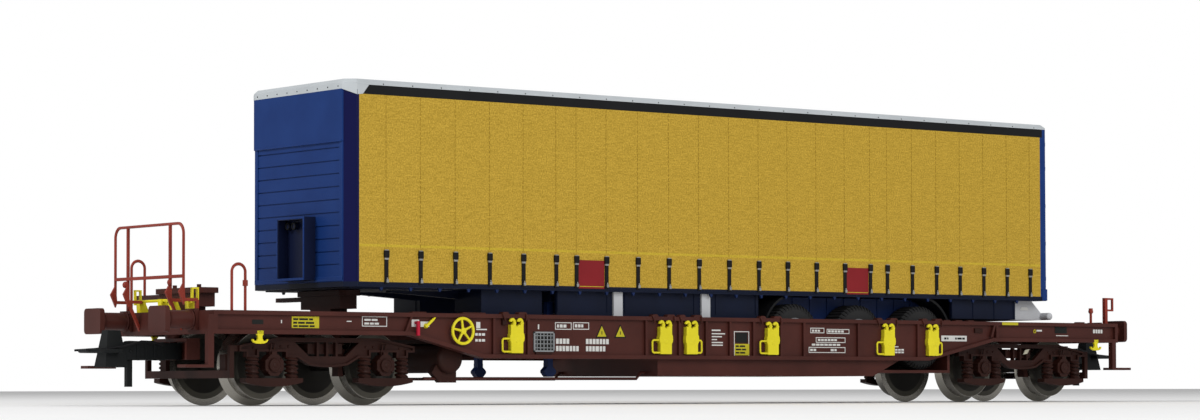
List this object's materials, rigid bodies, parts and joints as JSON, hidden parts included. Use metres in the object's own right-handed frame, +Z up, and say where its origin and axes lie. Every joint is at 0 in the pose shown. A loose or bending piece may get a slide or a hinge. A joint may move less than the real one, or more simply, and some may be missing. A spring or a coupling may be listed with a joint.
{
  "type": "model pocket wagon with semi-trailer",
  "caption": "Model railway pocket wagon with swivelling bogies, end railing and locking levers, carrying a curtain-sided semi-trailer with turning axles.",
  "frame": {"origin": "on the floor under the middle of the wagon, level with the lowest points of the wheel flanges", "axes": "+X along the wagon away from the end with the railing, +Y across it, +Z up"},
  "size_m": [0.2254, 0.0336, 0.0515],
  "materials": {
    "wagon_brown": "matt oxide brown",
    "railing_red": "matt red brown",
    "black_plastic": "matt black",
    "wheel_metal": "turned and darkened",
    "yellow_plastic": "satin yellow",
    "red_plastic": "satin red",
    "grey_plastic": "satin grey",
    "trailer_blue": "satin blue",
    "chassis_blue": "matt navy blue",
    "roof_grey": "satin light grey",
    "curtain_yellow": "satin golden yellow",
    "tyre_black": "matt black tyres with grey rims"
  },
  "bodies": {
    "wagon": {"side_sill_near": "wagon_brown", "side_sill_far": "wagon_brown", "end_deck_front": "wagon_brown", "end_deck_rear": "wagon_brown", "headstock_front": "wagon_brown", "headstock_rear": "wagon_brown", "wheel_pocket": "wagon_brown", "hitch_front": "wagon_brown", "hitch_middle": "wagon_brown", "air_reservoir": "wagon_brown", "brake_rods": "wagon_brown", "buffers_front": "wagon_brown", "buffers_rear": "wagon_brown", "end_railing": "railing_red", "side_handrails": "railing_red", "end_steps": "railing_red", "lamp_bracket": "railing_red", "valve_lever": "railing_red", "trailer_straps_near": "black_plastic", "trailer_straps_far": "black_plastic", "trailer_roof_band": "black_plastic", "trailer_mudguards": "black_plastic", "locking_levers_near": "yellow_plastic", "locking_levers_far": "yellow_plastic", "handwheels": "yellow_plastic", "rope_hooks": "yellow_plastic", "release_shaft": "yellow_plastic", "load_levers": "yellow_plastic", "brake_levers": "red_plastic", "grid_plates": "grey_plastic", "trailer_side_posts": "grey_plastic", "trailer_underrun": "grey_plastic", "trailer_front_wall": "trailer_blue", "trailer_connector_box": "trailer_blue", "trailer_rear_doors": "trailer_blue", "trailer_floor": "chassis_blue", "trailer_chassis": "chassis_blue", "trailer_landing_legs": "chassis_blue", "trailer_pallet_boxes": "chassis_blue", "trailer_side_panels": "chassis_blue", "trailer_roof": "roof_grey", "trailer_curtain_near": "curtain_yellow", "trailer_curtain_far": "curtain_yellow"},
    "bogie_front": {"bogie_frame_front": "wagon_brown", "axleboxes_front": "wagon_brown", "brake_shoes_front": "wagon_brown"},
    "bogie_rear": {"bogie_frame_rear": "wagon_brown", "axleboxes_rear": "wagon_brown", "brake_shoes_rear": "wagon_brown"},
    "coupler_front": {"coupler_front": "black_plastic"},
    "coupler_rear": {"coupler_rear": "black_plastic"},
    "wheelset_1": {"wheelset_1": "wheel_metal"},
    "wheelset_2": {"wheelset_2": "wheel_metal"},
    "wheelset_3": {"wheelset_3": "wheel_metal"},
    "wheelset_4": {"wheelset_4": "wheel_metal"},
    "trailer_axle_1": {"trailer_axle_1": "tyre_black"},
    "trailer_axle_2": {"trailer_axle_2": "tyre_black"},
    "trailer_axle_3": {"trailer_axle_3": "tyre_black"}
  },
  "joints": [
    {"name": "bogie_front_swivel", "type": "hinge", "parent": "wagon", "child": "bogie_front", "pos_m": [-0.07644, 0, 0.0097], "axis": [0, 0, 1], "range_deg": [-12, 12]},
    {"name": "bogie_rear_swivel", "type": "hinge", "parent": "wagon", "child": "bogie_rear", "pos_m": [0.07644, 0, 0.0097], "axis": [0, 0, 1], "range_deg": [-12, 12]},
    {"name": "wheelset_1_turn", "type": "hinge", "parent": "bogie_front", "child": "wheelset_1", "pos_m": [-0.08679, 0, 0.0063], "axis": [0, 1, 0], "continuous": true},
    {"name": "wheelset_2_turn", "type": "hinge", "parent": "bogie_front", "child": "wheelset_2", "pos_m": [-0.06609, 0, 0.0063], "axis": [0, 1, 0], "continuous": true},
    {"name": "wheelset_3_turn", "type": "hinge", "parent": "bogie_rear", "child": "wheelset_3", "pos_m": [0.06609, 0, 0.0063], "axis": [0, 1, 0], "continuous": true},
    {"name": "wheelset_4_turn", "type": "hinge", "parent": "bogie_rear", "child": "wheelset_4", "pos_m": [0.08679, 0, 0.0063], "axis": [0, 1, 0], "continuous": true},
    {"name": "coupler_front_swing", "type": "hinge", "parent": "wagon", "child": "coupler_front", "pos_m": [-0.0966, 0, 0.0085], "axis": [0, 0, 1], "range_deg": [-12, 12]},
    {"name": "coupler_rear_swing", "type": "hinge", "parent": "wagon", "child": "coupler_rear", "pos_m": [0.0966, 0, 0.0085], "axis": [0, 0, 1], "range_deg": [-12, 12]},
    {"name": "trailer_axle_1_turn", "type": "hinge", "parent": "wagon", "child": "trailer_axle_1", "pos_m": [0.02, 0, 0.0116], "axis": [0, 1, 0], "continuous": true},
    {"name": "trailer_axle_2_turn", "type": "hinge", "parent": "wagon", "child": "trailer_axle_2", "pos_m": [0.03506, 0, 0.0116], "axis": [0, 1, 0], "continuous": true},
    {"name": "trailer_axle_3_turn", "type": "hinge", "parent": "wagon", "child": "trailer_axle_3", "pos_m": [0.05012, 0, 0.0116], "axis": [0, 1, 0], "continuous": true}
  ]
}
